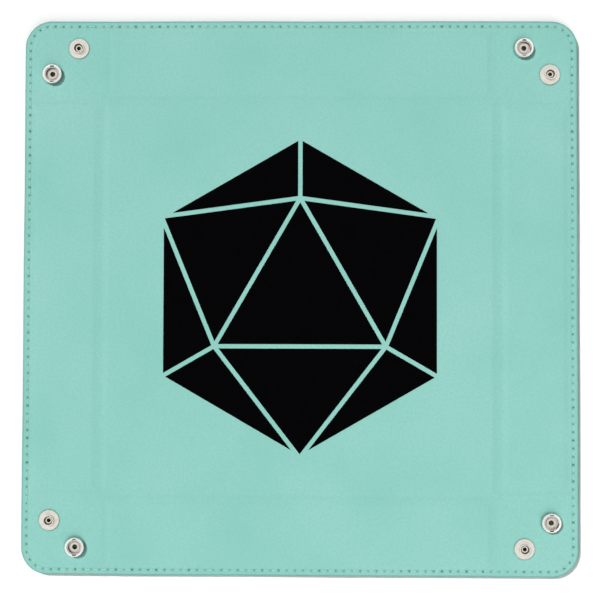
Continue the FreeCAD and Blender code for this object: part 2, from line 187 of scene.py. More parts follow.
def board_inset(x, y):
    """How far inside the nearest board points lie: negative outside every board."""
    ax, ay = np.abs(x), np.abs(y)
    far, near = np.maximum(ax, ay), np.minimum(ax, ay)
    wall = np.minimum(np.minimum(WALL_BOARD_END - near, far - WALL_BOARD_LOW), WALL_BOARD_HIGH - far)
    return np.maximum(BASE_BOARD - far, wall)


def smooth(value, low, high):
    """Rises smoothly from 0 at low to 1 at high."""
    t = np.clip((value - low) / (high - low), 0, 1)
    return t * t * (3 - 2 * t)


def bell(distance, width):
    """Falls from 1 at no distance to about a third at the width."""
    return np.exp(-((distance / width) ** 2))


def hole_marks(x, y, holes, long, wide):
    """How deep in a needle hole points lie, from 0 to its strength. Each hole is drawn out along the seam."""
    if not len(holes):
        return np.zeros(len(x))
    hx, hy, tx, ty, strength = np.asarray(holes).T
    dx, dy = x[:, None] - hx, y[:, None] - hy
    reach = ((dx * tx + dy * ty) / long) ** 2 + ((dx * ty - dy * tx) / wide) ** 2
    return (strength * np.exp(-reach)).max(1)


def crease_marks(x, y):
    """How strongly the creases mark points: the walls' creases, the ears' and the diagonals'."""
    ax, ay = np.abs(x), np.abs(y)
    far, near = np.maximum(ax, ay), np.minimum(ax, ay)
    wall = bell(far - CREASE, 0.9) * smooth(CREASE + 3 - near, 0, 3)
    ear = bell(near - EAR, 0.8) * smooth(far - CREASE, 0, 4)
    diagonal = bell((ax - ay) / math.sqrt(2), 0.9) * smooth(near - CREASE, 0, 3)
    return wall, ear, diagonal


def skin_heights(x, y, holes, rivet):
    """Top and bottom of the skin at points, and how much painted shade each gets, from 0 to 1."""
    inset, board = outer_inset(x, y), board_inset(x, y)
    groove = bell(inset - STITCH_INSET, GROOVE_WIDTH)
    pit = hole_marks(x, y, holes, HOLE_LONG, HOLE_WIDE)
    pinch = np.full(len(x), np.inf)
    if rivet is not None:
        pinch = np.maximum(np.hypot(x - rivet[0], y - rivet[1]) - RIVET_PINCH, 0)
    creases = crease_marks(x, y)
    sunk = GROOVE_DEPTH * groove + HOLE_DEPTH * pit
    sunk = sunk + EDGE_DROP * bell(inset, 0.4) + PINCH_DEPTH * bell(pinch, 0.8)
    padding = (PANEL_HIGH - RIM_HIGH) * smooth(board, OUTSIDE_BOARD, TOP_SHOULDER)
    top = RIM_HIGH + padding - sunk - weighted(creases, CREASE_DEPTHS)
    bottom = RIM_LOW * (1 - smooth(board, OUTSIDE_BOARD, BOTTOM_SHOULDER)) + sunk
    # Painted shade: in needle holes, along the seam's groove, at the cut edge, a painted contact shadow round each
    # snap, and in the creases.
    shade = np.maximum.reduce([
        hole_marks(x, y, holes, 1.2 * HOLE_LONG, 1.5 * HOLE_WIDE),
        0.05 * groove,
        0.42 * bell(inset, 0.6),
        0.55 * bell(pinch, 0.5),
        weighted(creases, CREASE_SHADES),
    ])
    return top, bottom, shade


def weighted(marks, weights):
    return sum(weight * mark for weight, mark in zip(weights, marks))


def along(start, end, spacing):
    """Points from start up to but not including end, evenly spaced."""
    (x0, y0), (x1, y1) = start, end
    count = max(1, round(math.hypot(x1 - x0, y1 - y0) / spacing))
    return [(x0 + (x1 - x0) * i / count, y0 + (y1 - y0) * i / count) for i in range(count)]


def circle(centre, radius, count):
    """Points round a circle, evenly spaced."""
    turns = [2 * math.pi * i / count for i in range(count)]
    return [(centre[0] + radius * math.cos(a), centre[1] + radius * math.sin(a)) for a in turns]


def edge_samples(u0, u1):
    """Rows of points along the outer edge from u0 to u1, close together round the stitching."""
    count = round((u1 - u0) / EDGE_STEP)
    steps = [u0 + (u1 - u0) * i / count for i in range(count + 1)]
    return [edge_point(u, inset) for inset in EDGE_ROWS for u in steps]


def hole_samples(holes):
    """A centre and three rings of points at each needle hole."""
    points = []
    for x, y, tx, ty, _ in holes:
        points.append((x, y))
        for reach, count in ((0.5, 6), (1.05, 10), (1.7, 12)):
            for i in range(count):
                turn = 2 * math.pi * i / count
                a, b = reach * HOLE_LONG * math.cos(turn), reach * HOLE_WIDE * math.sin(turn)
                points.append((x + a * tx + b * ty, y + a * ty - b * tx))
    return points


def within(points, corners, sides):
    """Which points lie inside a polygon, by counting the sides that a ray along +X crosses."""
    y = points[:, 1, None]
    spans = (corners[:, 1] > y) != ((corners + sides)[:, 1] > y)
    rise = np.where(sides[:, 1] == 0, 1.0, sides[:, 1])
    crossing = corners[:, 0] + (y - corners[:, 1]) / rise * sides[:, 0]
    return (spans & (crossing > points[:, 0, None])).sum(1) % 2 == 1


def thinned(outline, families):
    """Sample points by falling priority, each kept only where it has room. A family is (points, room)."""
    cell = 1.0  # of the grid that finds a point's neighbours
    kept, grid = [], {}

    def crowded(x, y, room):
        i, j = int(x // cell), int(y // cell)
        reach = int(room // cell) + 1
        for a in range(i - reach, i + reach + 1):
            for b in range(j - reach, j + reach + 1):
                for px, py in grid.get((a, b), ()):
                    if (px - x) ** 2 + (py - y) ** 2 < room * room:
                        return True
        return False

    def keep(x, y):
        grid.setdefault((int(x // cell), int(y // cell)), []).append((x, y))

    for x, y in outline:
        keep(x, y)
    corners = np.array(outline)
    sides = np.roll(corners, -1, 0) - corners
    for points, room in families:
        places = np.array(points, float)
        rel = places[:, None, :] - corners[None]
        nearest = np.clip((rel * sides[None]).sum(2) / (sides**2).sum(1)[None], 0, 1)
        away = np.sqrt(((rel - nearest[..., None] * sides[None]) ** 2).sum(2)).min(1)
        clear = (away > 0.45 * room) & within(places, corners, sides)
        for (x, y), ok in zip(points, clear):
            if ok and not crowded(x, y, room):
                keep(x, y)
                kept.append((x, y))
    return kept


# ---------------------------------------------------------------- skins

# The sewn edge, from the top face round to the bottom one: two sheets, each with a rounded cut edge.
EDGE_PROFILE = (
    (0.08, RIM_HIGH - 0.17),
    (0.0, RIM_HIGH - 0.34),
    (0.0, RIM_MID + 0.24),
    (0.06, RIM_MID + 0.08),
    (0.17, RIM_MID),
    (0.06, RIM_MID - 0.08),
    (0.0, RIM_MID - 0.24),
    (0.0, RIM_LOW + 0.34),
    (0.08, RIM_LOW + 0.17),
)
# Painted shade on the cut edge's faces, darkest in the crevice where the two sheets meet.
EDGE_SHADE = (0.42, 0.45, 0.45, 0.5, 0.8, 0.5, 0.45, 0.45, 0.42)


class Skin:
    """A closed piece of the two sheets: its vertices, faces, sharp edges and painted shade."""

    def __init__(self, outline, run, families, holes, rivet=None):
        """run gives each outline point that lies on the outer edge its distance along it, by index."""
        samples = thinned(outline, families)
        bore = []
        if rivet is not None:
            bore = circle(rivet, RIVET_HOLE, 24)
            samples = [p for p in samples if math.dist(p, rivet) > RIVET_HOLE + 0.3]
        flat = [Vector(p) for p in [*outline, *bore, *samples]]
        count = len(outline)
        ring = [(i, (i + 1) % count) for i in range(count)]
        bored = [(count + i, count + (i + 1) % len(bore)) for i in range(len(bore))]
        coords, _, faces, origins, _, _ = delaunay_2d_cdt(flat, ring + bored, [], 1, 1e-5)
        xy = np.array([tuple(c) for c in coords])
        if rivet is not None:
            faces = [f for f in faces if math.dist(xy[f].mean(0), rivet) > 0.95 * RIVET_HOLE]
        top, bottom, shade = skin_heights(xy[:, 0], xy[:, 1], holes, rivet)
        self.number = len(xy)  # of points on the top face; each has one below it, that much later
        self.at = {source: i for i, sources in enumerate(origins) for source in sources}
        self.points = [(x, y, z) for heights in (top, bottom) for (x, y), z in zip(xy, heights)]
        self.shade = [*shade, *shade]
        self.faces = [tuple(f) for f in faces] + [tuple(i + self.number for i in reversed(f)) for f in faces]
        self.sharp = set()
        chains = {i: self.edge_chain(i, u) for i, u in run.items()}
        for i, j in bored:
            self.close_straight(j, i)
        for i, j in ring:
            if i in chains and j in chains:
                self.close_rounded(chains[i], chains[j])
            else:
                self.close_straight(i, j)
        for i, chain in chains.items():
            if (i + 1) % count not in chains:
                self.cap(chain, chain)
            if (i - 1) % count not in chains:
                self.cap(chain, reversed(chain))

    def edge_chain(self, i, u):
        """The points of the cut edge's profile below outline point i, from the top face to the bottom one."""
        chain = [self.at[i]]
        for (inset, z), dark in zip(EDGE_PROFILE, EDGE_SHADE):
            chain.append(len(self.points))
            self.points.append((*edge_point(u, inset), z))
            self.shade.append(dark)
        return [*chain, self.at[i] + self.number]

    def close_straight(self, i, j):
        """An upright face below two neighbouring points, with sharp edges."""
        a, b = self.at[i], self.at[j]
        self.faces.append((a + self.number, b + self.number, b, a))
        self.sharp |= {(a, b), (a + self.number, b + self.number)}

    def close_rounded(self, a, b):
        """The cut edge's faces between two neighbouring chains."""
        for k in range(len(a) - 1):
            self.faces.append((a[k + 1], b[k + 1], b[k], a[k]))

    def cap(self, chain, corners):
        """The face that closes the cut edge where the piece ends."""
        self.faces.append(tuple(corners))
        self.sharp |= set(zip(chain, chain[1:]))

    def mesh(self, name, mirror=False, quarter=0):
        slot = "leatherette"
        return new_piece(name, self.points, self.faces, slot, mirror, quarter, self.shade, self.sharp)


def moved(points, mirror, quarter):
    """Points of the north wall's west end, mirrored to its east end if asked, then turned to another wall."""
    x, y, z = (np.array(c, float) for c in zip(*points))
    if mirror:
        x = -x
    for _ in range(quarter):
        x, y = y, -x
    return np.stack([x, y, z], 1)


def slackened(points):
    """Draws the cut edge in by a hair, more in some places than in others, each side in its own places."""
    slack = 0.05
    spread = 14  # millimetres along the edge for each radian of the wave
    inner, outer = 106, 114  # the slack grows from nothing to its full size between these
    x, y = points[:, 0].copy(), points[:, 1].copy()
    for own, other, axis in ((x, y, 0), (y, x, 1)):
        wave = 1 + np.sin(other / spread + 2 * np.sign(own) + 5 * axis)
        points[:, axis] = own - slack * np.sign(own) * wave * smooth(np.abs(own), inner, outer)
    return points


def new_piece(name, points, faces, slot, mirror, quarter, shade=None, sharp=()):
    """A mesh object in metres, with its rest position and its shading kept as attributes for its material."""
    places = slackened(moved(points, mirror, quarter)) * MM
    if mirror:
        faces = [tuple(reversed(f)) for f in faces]
    mesh = bpy.data.meshes.new(name)
    mesh.from_pydata(places.tolist(), [], faces)
    rest = mesh.attributes.new("rest", "FLOAT_VECTOR", "POINT")
    rest.data.foreach_set("vector", places.ravel())
    dark = mesh.attributes.new("shade", "FLOAT", "POINT")
    dark.data.foreach_set("value", np.zeros(len(points)) if shade is None else np.array(shade))
    mesh.polygons.foreach_set("use_smooth", [True] * len(mesh.polygons))
    if sharp:
        wanted = {tuple(sorted(pair)) for pair in sharp}
        for edge in mesh.edges:
            edge.use_edge_sharp = tuple(sorted(edge.vertices)) in wanted
    mesh.materials.append(MATERIALS[slot])
    piece = bpy.data.objects.new(name, mesh)
    bpy.context.scene.collection.objects.link(piece)
    return piece


# Each hole's strength sets both its depth and how much painted shade it gets.
HOLE_CLOSING_AND_SHADE = random.Random(7)  # some needle holes have closed up more than others
HOLES = [(*stitch_hole(i), HOLE_CLOSING_AND_SHADE.uniform(0.4, 1.0)) for i in range(STITCHES)]
NEAR = 1.0  # a hole that far past a split still dents the skin on this side of it
WALL_HOLES = [hole for hole in HOLES if hole[0] > -WALL_END - NEAR]
END_HOLES = [hole for hole in HOLES if -EAR_START - NEAR < hole[0] < -WALL_END + NEAR]
EAR_HOLES = [hole for hole in HOLES if hole[0] < -EAR_START + NEAR]
SIDE_ROWS = sorted({HALF - inset for inset in EDGE_ROWS} | {y for y in CREASE_ROWS if y > STRIP_TOP})
SLANT_START = (-EAR_START, EAR_START + FOLD_BEND * math.sqrt(2))  # where the slanting split meets the ear


def side(x, low, high):
    """The points of an upright split line at x, on the rows that both its sides share."""
    gap = 0.15
    return [(x, y) for y in SIDE_ROWS if low + gap < y < high - gap]


def between(low, high, step):
    """Evenly spaced values about a step apart, without the two ends."""
    count = round((high - low) / step)
    return [low + (high - low) * i / count for i in range(1, count)]


def base_skin():
    """The base's flat middle."""
    corners = [(s * BASE_REACH, t * BASE_REACH) for s, t in ((-1, -1), (1, -1), (1, 1), (-1, 1))]
    outline = [p for i in range(4) for p in along(corners[i], corners[(i + 1) % 4], FLAT_STEP)]
    rows = between(-BASE_REACH, BASE_REACH, 4.0)
    return Skin(outline, {}, [([(x, y) for x in rows for y in rows], 1.5)], [])


def edge_run(outline, run, u0, u1):
    """Adds the outer edge from u0 to u1, its lip inset, to an outline."""
    count = max(1, round(abs(u1 - u0) / EDGE_STEP))
    for i in range(count + 1):
        u = u0 + (u1 - u0) * i / count
        run[len(outline)] = u
        outline.append(edge_point(u, LIP))


def wall_skin():
    """A wall between its two ears, with the bend at its crease."""
    lip = HALF - LIP
    outline = along((-BASE_REACH, BASE_REACH), (BASE_REACH, BASE_REACH), FLAT_STEP)
    outline += along((BASE_REACH, BASE_REACH), (EAR, EAR), DIAGONAL_STEP)
    outline += along((EAR, EAR), (EAR, STRIP_TOP), BEND_STEP)
    outline += along((EAR, STRIP_TOP), (WALL_END, STRIP_TOP), STRIP_STEP)
    outline += [(WALL_END, STRIP_TOP), *side(WALL_END, STRIP_TOP, lip)]
    run = {}
    edge_run(outline, run, -WALL_END, WALL_END)
    outline += list(reversed(side(-WALL_END, STRIP_TOP, lip)))
    outline += along((-WALL_END, STRIP_TOP), (-EAR, STRIP_TOP), STRIP_STEP)
    outline += along((-EAR, STRIP_TOP), (-EAR, EAR), BEND_STEP)
    outline += along((-EAR, EAR), (-BASE_REACH, BASE_REACH), DIAGONAL_STEP)
    holes = [(s * x, y, tx, s * ty, strength) for x, y, tx, ty, strength in WALL_HOLES for s in (-1, 1)]
    columns = between(-WALL_END, WALL_END, 2.5)
    ends = [s * (WALL_END - d) for s in (-1, 1) for d in (0.3, 0.6, 0.9, 1.2, 1.6, 2.0)]
    strip_ends = [s * (EAR - d) for s in (-1, 1) for d in (0.35, 0.7, 1.1, 1.5)]
    middle_rows = between(CREASE_ROWS[-1], HALF - EDGE_ROWS[-1], 1.5)
    families = [
        (hole_samples(holes), 0.12),
        (edge_samples(-WALL_END, WALL_END), 0.3),
        ([(x, y) for x in [*ends, *strip_ends, *columns] for y in CREASE_ROWS[1:]], 0.25),
        ([(x, y) for x in ends for y in middle_rows], 0.25),
        ([(x, y) for x in columns for y in middle_rows[::2]], 0.9),
    ]
    return Skin(outline, run, families, holes)


def end_skin():
    """The short stretch across an ear's crease."""
    outline = [(-WALL_END, STRIP_TOP), *side(-WALL_END, STRIP_TOP, HALF - LIP)]
    run = {}
    edge_run(outline, run, WALL_END, EAR_START)
    outline += list(reversed(side(-EAR_START, SLANT_START[1], HALF - LIP)))
    outline += along(SLANT_START, (-EAR, STRIP_TOP), SLANT_STEP)
    outline += along((-EAR, STRIP_TOP), (-WALL_END, STRIP_TOP), STRIP_STEP)
    columns = between(-EAR_START, -WALL_END, 0.33)
    rows = between(STRIP_TOP, HALF - EDGE_ROWS[-1], 0.8)
    families = [
        (hole_samples(END_HOLES), 0.12),
        (edge_samples(WALL_END, EAR_START), 0.3),
        ([(x, y) for x in columns for y in rows], 0.25),
    ]
    return Skin(outline, run, families, END_HOLES)


def ear_skin(rivet):
    """An ear from its crease to the corner's diagonal, with the diagonal's fold and the rivet's hole."""
    tip = edge_point(EDGE_LENGTH, LIP)
    outline = along((-EAR, EAR), (-EAR, STRIP_TOP), BEND_STEP)
    outline += along((-EAR, STRIP_TOP), SLANT_START, SLANT_STEP)
    outline += [SLANT_START, *side(-EAR_START, SLANT_START[1], HALF - LIP)]
    run = {}
    edge_run(outline, run, EAR_START, EDGE_LENGTH)
    outline += along(tip, (-EAR, EAR), DIAGONAL_STEP)[1:]
    length = math.hypot(tip[0] + EAR, tip[1] - EAR)
    spacing = 0.6
    beside = []
    for offset in FOLD_ROWS:
        for i in range(1, round(length / spacing)):
            reach = EAR + spacing * i / math.sqrt(2)
            beside.append((-reach + offset / math.sqrt(2), reach + offset / math.sqrt(2)))
    rows = between(CREASE, HALF, 1.6)
    families = [
        ([point for radius in RIVET_RINGS for point in circle(rivet, radius, 40)], 0.3),
        (hole_samples(EAR_HOLES), 0.12),
        (edge_samples(EAR_START, EDGE_LENGTH), 0.25),
        (beside, 0.22),
        ([(-x, y) for x in rows for y in rows], 1.0),
    ]
    return Skin(outline, run, families, EAR_HOLES, rivet)


def corner_web():
    """The sheets' corner under each pinch: inside their thickness while the tray is flat, then its floor."""
    low, high = CREASE - 6.0, CREASE + 2.4
    corner = 3.2  # radius of its outermost corner
    centre = high - corner
    arc = [math.radians(90 * i / 8) for i in range(9)]
    ring = [(-low, low), (-low, high)]
    ring += [(-centre - corner * math.sin(a), centre + corner * math.cos(a)) for a in arc]
    ring += [(-high, low)]
    count = len(ring)
    bulge = 0.35  # of its rounded rim
    levels = ((0.0, 0.45), (bulge, 0.15), (bulge, -0.15), (0.0, -0.45))  # how far out, and how high
    points, faces = [], []
    middle = (-(low + high) / 2, (low + high) / 2)
    for grow, height in levels:
        for x, y in ring:
            dx, dy = x - middle[0], y - middle[1]
            reach = math.hypot(dx, dy)
            out = grow - bulge
            points.append((x + dx / reach * out, y + dy / reach * out, RIM_MID + height))
    for level in range(len(levels) - 1):
        for i in range(count):
            j = (i + 1) % count
            a, b = level * count, (level + 1) * count
            faces.append((b + i, a + i, a + j, b + j))
    faces.append(tuple(range(count - 1, -1, -1)))
    faces.append(tuple(range(3 * count, 4 * count)))
    return points, faces


# ---------------------------------------------------------------- stitching


def stitch(start, end, level, up, noise):
    """One stitch of two-ply thread from hole to hole: it rises out of one hole and dives into the next."""
    steps, around = 12, 10
    thick = 0.2  # radius of the thread at the waist between its plies
    ply = 0.055  # how far the plies stand out of it
    twist = 2.6  # quarter turns of the plies in one stitch
    clear = 0.34  # from the needle hole's middle to the stitch's end
    dive, climb = 0.3, 0.42  # how deep its ends lie, and how far its middle stands above them
    (x0, y0), (x1, y1) = start, end
    length = math.hypot(x1 - x0, y1 - y0)
    tx, ty = (x1 - x0) / length, (y1 - y0) / length
    x0, y0, length = x0 + clear * tx, y0 + clear * ty, length - 2 * clear
    skew, lift, phase = noise.uniform(-0.07, 0.07), noise.uniform(-0.02, 0.03), noise.uniform(0, math.pi)
    points, faces = [], []
    for i in range(steps + 1):
        t = i / steps
        arch = math.sin(math.pi * t) ** 0.5
        rise = -dive + (climb + lift) * arch
        across = skew * math.cos(math.pi * t)
        cx, cy = x0 + tx * length * t - ty * across, y0 + ty * length * t + tx * across
        size = 0.75 + 0.25 * arch
        for k in range(around):
            turn = 2 * math.pi * k / around
            radius = size * (thick + ply * abs(math.cos(turn - phase - twist * t * math.pi / 2)))
            out, over = 1.12 * radius * math.cos(turn), 0.85 * radius * math.sin(turn)
            points.append((cx - ty * out, cy + tx * out, level + up * (rise + over)))
    for i in range(steps):
        for k in range(around):
            a, b = i * around + k, i * around + (k + 1) % around
            faces.append((a, b, b + around, a + around))
    faces.append(tuple(range(around - 1, -1, -1)))
    faces.append(tuple(range(steps * around, (steps + 1) * around)))
    if up > 0:
        faces = [tuple(reversed(f)) for f in faces]
    return points, faces


def stitching(name, spans, mirror, quarter, seed):
    """Every stitch of the spans, on both faces, as one piece."""
    noise = random.Random(seed)
    points, faces = [], []
    for start, end in spans:
        for level, up in ((RIM_HIGH - GROOVE_DEPTH, 1), (RIM_LOW + GROOVE_DEPTH, -1)):
            own, rings = stitch(start, end, level, up, noise)
            base = len(points)
            points += own
            faces += [tuple(i + base for i in f) for f in rings]
    return new_piece(name, points, faces, "thread", mirror, quarter)


def spans_between(low, high):
    """Stitches whose middle lies between two distances from the wall's middle, west of it."""
    spans = []
    for i in range(STITCHES):
        start, end = stitch_point(i - 1), stitch_point(i)
        if i and low <= -(start[0] + end[0]) / 2 < high:
            spans.append((start, end))
    return spans


def diagonal_span():
    """The half stitch from an ear's last hole to the corner's diagonal."""
    return [(stitch_point(STITCHES - 1), edge_point(EDGE_LENGTH, STITCH_INSET))]


# ---------------------------------------------------------------- materials


def linear(red, green, blue):
    """An sRGB colour of 0 to 255 in the linear form that shaders take."""
    shares = [c / 255 for c in (red, green, blue)]
    return (*(c / 12.92 if c <= 0.04045 else ((c + 0.055) / 1.055) ** 2.4 for c in shares), 1.0)


class Nodes:
    """A new material's node tree, with short calls for the nodes used here."""

    def __init__(self, name):
        self.material = bpy.data.materials.new(name)
        self.material.use_nodes = True
        self.tree = self.material.node_tree
        self.shader = self.tree.nodes["Principled BSDF"]

    def add(self, kind, inputs=None, **settings):
        node = self.tree.nodes.new(kind)
        for key, value in settings.items():
            setattr(node, key, value)
        for key, value in (inputs or {}).items():
            self.feed(node, key, value)
        return node

    def feed(self, node, key, value):
        if isinstance(value, bpy.types.NodeSocket):
            self.tree.links.new(value, node.inputs[key])
        else:
            node.inputs[key].default_value = value

    def attribute(self, name, output):
        return self.add("ShaderNodeAttribute", attribute_name=name).outputs[output]

    def place(self):
        return self.add("ShaderNodeTexCoord").outputs["Object"]

    def noise(self, vector, size, detail=2.0, roughness=0.5):
        """Noise from 0 to 1 whose features are about size millimetres across."""
        inputs = {"Vector": vector, "Scale": 1 / (size * MM), "Detail": detail, "Roughness": roughness}
        return self.add("ShaderNodeTexNoise", inputs).outputs["Fac"]

    def cells(self, vector, size):
        """Rounded cells about size millimetres across: how far each place is from its cell's middle."""
        inputs = {"Vector": vector, "Scale": 1 / (size * MM), "Smoothness": 0.6}
        return self.add("ShaderNodeTexVoronoi", inputs, feature="SMOOTH_F1").outputs["Distance"]

    def range(self, value, low, high, new_low, new_high):
        inputs = {"Value": value, "From Min": low, "From Max": high, "To Min": new_low, "To Max": new_high}
        return self.add("ShaderNodeMapRange", inputs).outputs["Result"]

    def step(self, value, edge, falling=False):
        """Rises from 0 to 1 as value passes edge millimetres, or falls from 1 to 0."""
        width = 0.03
        return self.range(value, (edge - width) * MM, (edge + width) * MM, int(falling), int(not falling))

    def math(self, operation, a, b=0.0):
        return self.add("ShaderNodeMath", {0: a, 1: b}, operation=operation).outputs["Value"]

    def mix(self, share, a, b):
        """From colour a to colour b."""
        node = self.add("ShaderNodeMix", data_type="RGBA")
        number = {socket.identifier: i for i, socket in enumerate(node.inputs)}
        for identifier, value in (("Factor_Float", share), ("A_Color", a), ("B_Color", b)):
            self.feed(node, number[identifier], value)
        return next(s for s in node.outputs if s.identifier == "Result_Color")

    def bump(self, height, distance, strength):
        """Relief whose height of 1 stands for distance millimetres."""
        inputs = {"Height": height, "Distance": distance * MM, "Strength": strength}
        return self.add("ShaderNodeBump", inputs).outputs["Normal"]

    def finish(self, **inputs):
        """Sets or links the shader's own inputs and gives the material."""
        for key, value in inputs.items():
            self.feed(self.shader, key.replace("_", " ").title().replace("Ior", "IOR"), value)
        return self.material


def leatherette():
    """Pale teal coated fabric: a fine pebble grain with painted shade in its valleys and a painted highlight on
    its tops, a faint mottle, and painted shade in holes, creases, round the snaps and at cut edges.
    """
    n = Nodes("leatherette")
    rest, shade = n.attribute("rest", "Vector"), n.attribute("shade", "Fac")
    light, dark = linear(145, 199, 190), linear(132, 192, 181)
    colour = n.mix(n.range(n.noise(rest, 45, 3.0), 0.3, 0.7, 0, 1), dark, light)
    grain = n.cells(rest, 0.85)
    fine = n.noise(rest, 0.35, 3.0, 0.6)
    # Painted shade in the grain's valleys, where its relief is low.
    grain_valley_shade = n.range(grain, 0.25, 0.6, 0, 0.35)
    colour = n.mix(grain_valley_shade, colour, linear(121, 183, 170))
    # Painted highlight where the fine noise raises the relief.
    colour = n.mix(n.range(fine, 0.35, 0.75, 0, 0.22), colour, linear(152, 209, 200))
    # The painted shade that the skin's shade attribute carries.
    colour = n.mix(shade, colour, linear(10, 96, 84))
    height = n.math("ADD", n.range(grain, 0.0, 0.7, 1.0, 0.0), n.math("MULTIPLY", fine, 0.5))
    normal = n.bump(height, 0.04, 0.6)
    roughness = n.range(n.noise(rest, 6, 2.0), 0.3, 0.7, 0.46, 0.58)
    return n.finish(base_color=colour, roughness=roughness, normal=normal, specular_ior_level=0.35)


def thread():
    """Teal polyester thread with a slight sheen, and painted shade in the gaps between its fibres."""
    n = Nodes("thread")
    rest = n.attribute("rest", "Vector")
    fibres = n.noise(rest, 0.16, 3.0, 0.7)
    # Painted shade where the fibres' relief is low.
    colour = n.mix(n.range(fibres, 0.3, 0.7, 0, 1), linear(129, 196, 185), linear(168, 217, 209))
    normal = n.bump(fibres, 0.03, 0.5)
    roughness = n.range(fibres, 0.3, 0.7, 0.5, 0.65)
    return n.finish(base_color=colour, roughness=roughness, normal=normal, sheen_weight=0.25)


def snap_metal(name, zones):
    """Nickel plate with handling marks. Each zone of radius and height round a snap has its own colour."""
    n = Nodes(name)
    place = n.place()
    haze = n.noise(place, 1.6, 3.0, 0.6)
    drawn = n.add("ShaderNodeMapping", {"Vector": place, "Scale": (1, 5, 1)}).outputs["Vector"]
    marks = n.noise(drawn, 0.8, 4.0, 0.7)
    colour = n.mix(n.range(haze, 0.35, 0.7, 0, 1), linear(226, 222, 213), linear(210, 204, 193))
    # All eight snap centres fold onto one, because the tray is the same in every quarter and mirrored.
    folded = n.add("ShaderNodeVectorMath", {0: place}, operation="ABSOLUTE").outputs["Vector"]
    parts = n.add("ShaderNodeSeparateXYZ", {"Vector": folded}).outputs
    x, y = SNAP_CENTRE
    far = n.math("SUBTRACT", n.math("MAXIMUM", parts["X"], parts["Y"]), y * MM)
    near = n.math("SUBTRACT", n.math("MINIMUM", parts["X"], parts["Y"]), -x * MM)
    radius = n.math("SQRT", n.math("ADD", n.math("MULTIPLY", far, far), n.math("MULTIPLY", near, near)))
    for (inner, outer), (low, high), zone_colour in zones:
        ring = n.math("MULTIPLY", n.step(radius, inner), n.step(radius, outer, falling=True))
        slab = n.math("MULTIPLY", n.step(parts["Z"], low), n.step(parts["Z"], high, falling=True))
        share = n.math("MULTIPLY", n.math("MULTIPLY", ring, slab), n.range(haze, 0.3, 0.7, 1, 0.75))
        colour = n.mix(share, colour, zone_colour)
    roughness = n.range(marks, 0.3, 0.75, 0.12, 0.25)
    return n.finish(base_color=colour, metallic=0.7, roughness=roughness, normal=n.bump(marks, 0.008, 0.25))


def ink():
    """Matt black screen print that lies over the leatherette's grain, a little broken at its finest pits."""
    n = Nodes("ink")
    place = n.place()
    grain, fine = n.cells(place, 0.85), n.noise(place, 0.35, 3.0, 0.6)
    colour = n.mix(n.range(fine, 0.4, 0.75, 0, 1), linear(1, 1, 2), linear(9, 9, 10))
    height = n.math("ADD", n.range(grain, 0.0, 0.7, 1.0, 0.0), n.math("MULTIPLY", fine, 0.5))
    roughness = n.range(n.noise(place, 5, 2.0), 0.3, 0.7, 0.62, 0.75)
    normal = n.bump(height, 0.03, 0.45)
    return n.finish(base_color=colour, roughness=roughness, normal=normal, specular_ior_level=0.02)


def greyboard():
    """Recycled greyboard with flecks and a fibrous face."""
    n = Nodes("board")
    place = n.place()
    flecks, fibres = n.noise(place, 0.9, 4.0, 0.75), n.noise(place, 0.25, 3.0, 0.7)
    colour = n.mix(n.range(flecks, 0.35, 0.7, 0, 1), linear(150, 143, 132), linear(116, 110, 102))
    roughness = n.range(fibres, 0.3, 0.7, 0.85, 0.95)
    return n.finish(base_color=colour, roughness=roughness, normal=n.bump(fibres, 0.04, 0.6))


def paper_floor():
    """Matt white studio paper."""
    n = Nodes("studio_paper")
    grain = n.noise(n.place(), 2.0, 3.0, 0.6)
    colour = n.mix(grain, (0.92, 0.92, 0.92, 1), (0.95, 0.95, 0.95, 1))
    return n.finish(base_color=colour, roughness=n.range(grain, 0.3, 0.7, 0.85, 0.95))


MATERIALS = {"leatherette": leatherette(), "thread": thread(), "ink": ink(), "board": greyboard()}

# Each snap part's zones, as (radii), (heights) and colour: a painted highlight on the socket's rolled rim and the
# stud's post top, dark brown painted shade in the recesses, the bores and inside the socket's cup, cream on the
# eyelet's roll, and grey on the socket's floor and the cap's roll.
# A near-white painted highlight, and cream.
PAINTED_HIGHLIGHT, CREAM = linear(255, 253, 249), linear(240, 222, 206)
# Grey, and the dark brown painted shade of recesses and bores.
GREY, PAINTED_RECESS_SHADE = linear(206, 200, 190), linear(32, 25, 21)
AXIS, ABOVE = -1, 9  # a radius below any, and a height over any
ZONES = {
    "stud": (
        ((1.2, 1.84), (RIM_HIGH, RIM_HIGH + 0.7), PAINTED_RECESS_SHADE),
        ((1.7, 2.4), (RIM_HIGH + 1.2, ABOVE), PAINTED_HIGHLIGHT),
    ),
    "eyelet": (
        ((AXIS, 1.45), (RIM_HIGH + 0.3, ABOVE), CREAM),
        ((AXIS, 0.84), (0.45, ABOVE), PAINTED_RECESS_SHADE),
    ),
    "socket": (
        ((2.8, 4.2), (RIM_HIGH + 2.08, ABOVE), PAINTED_HIGHLIGHT),
        ((1.4, 3.1), (RIM_HIGH, RIM_HIGH + 0.6), GREY),
        ((3.1, 3.7), (RIM_HIGH + 0.2, RIM_HIGH + 2.07), PAINTED_RECESS_SHADE),
    ),
    "cap": (
        ((AXIS, 2.1), (RIM_HIGH + 0.3, ABOVE), GREY),
        ((AXIS, 1.04), (0.45, ABOVE), PAINTED_RECESS_SHADE),
    ),
}
METAL = {part: snap_metal(part, zones) for part, zones in ZONES.items()}


# ---------------------------------------------------------------- assembly


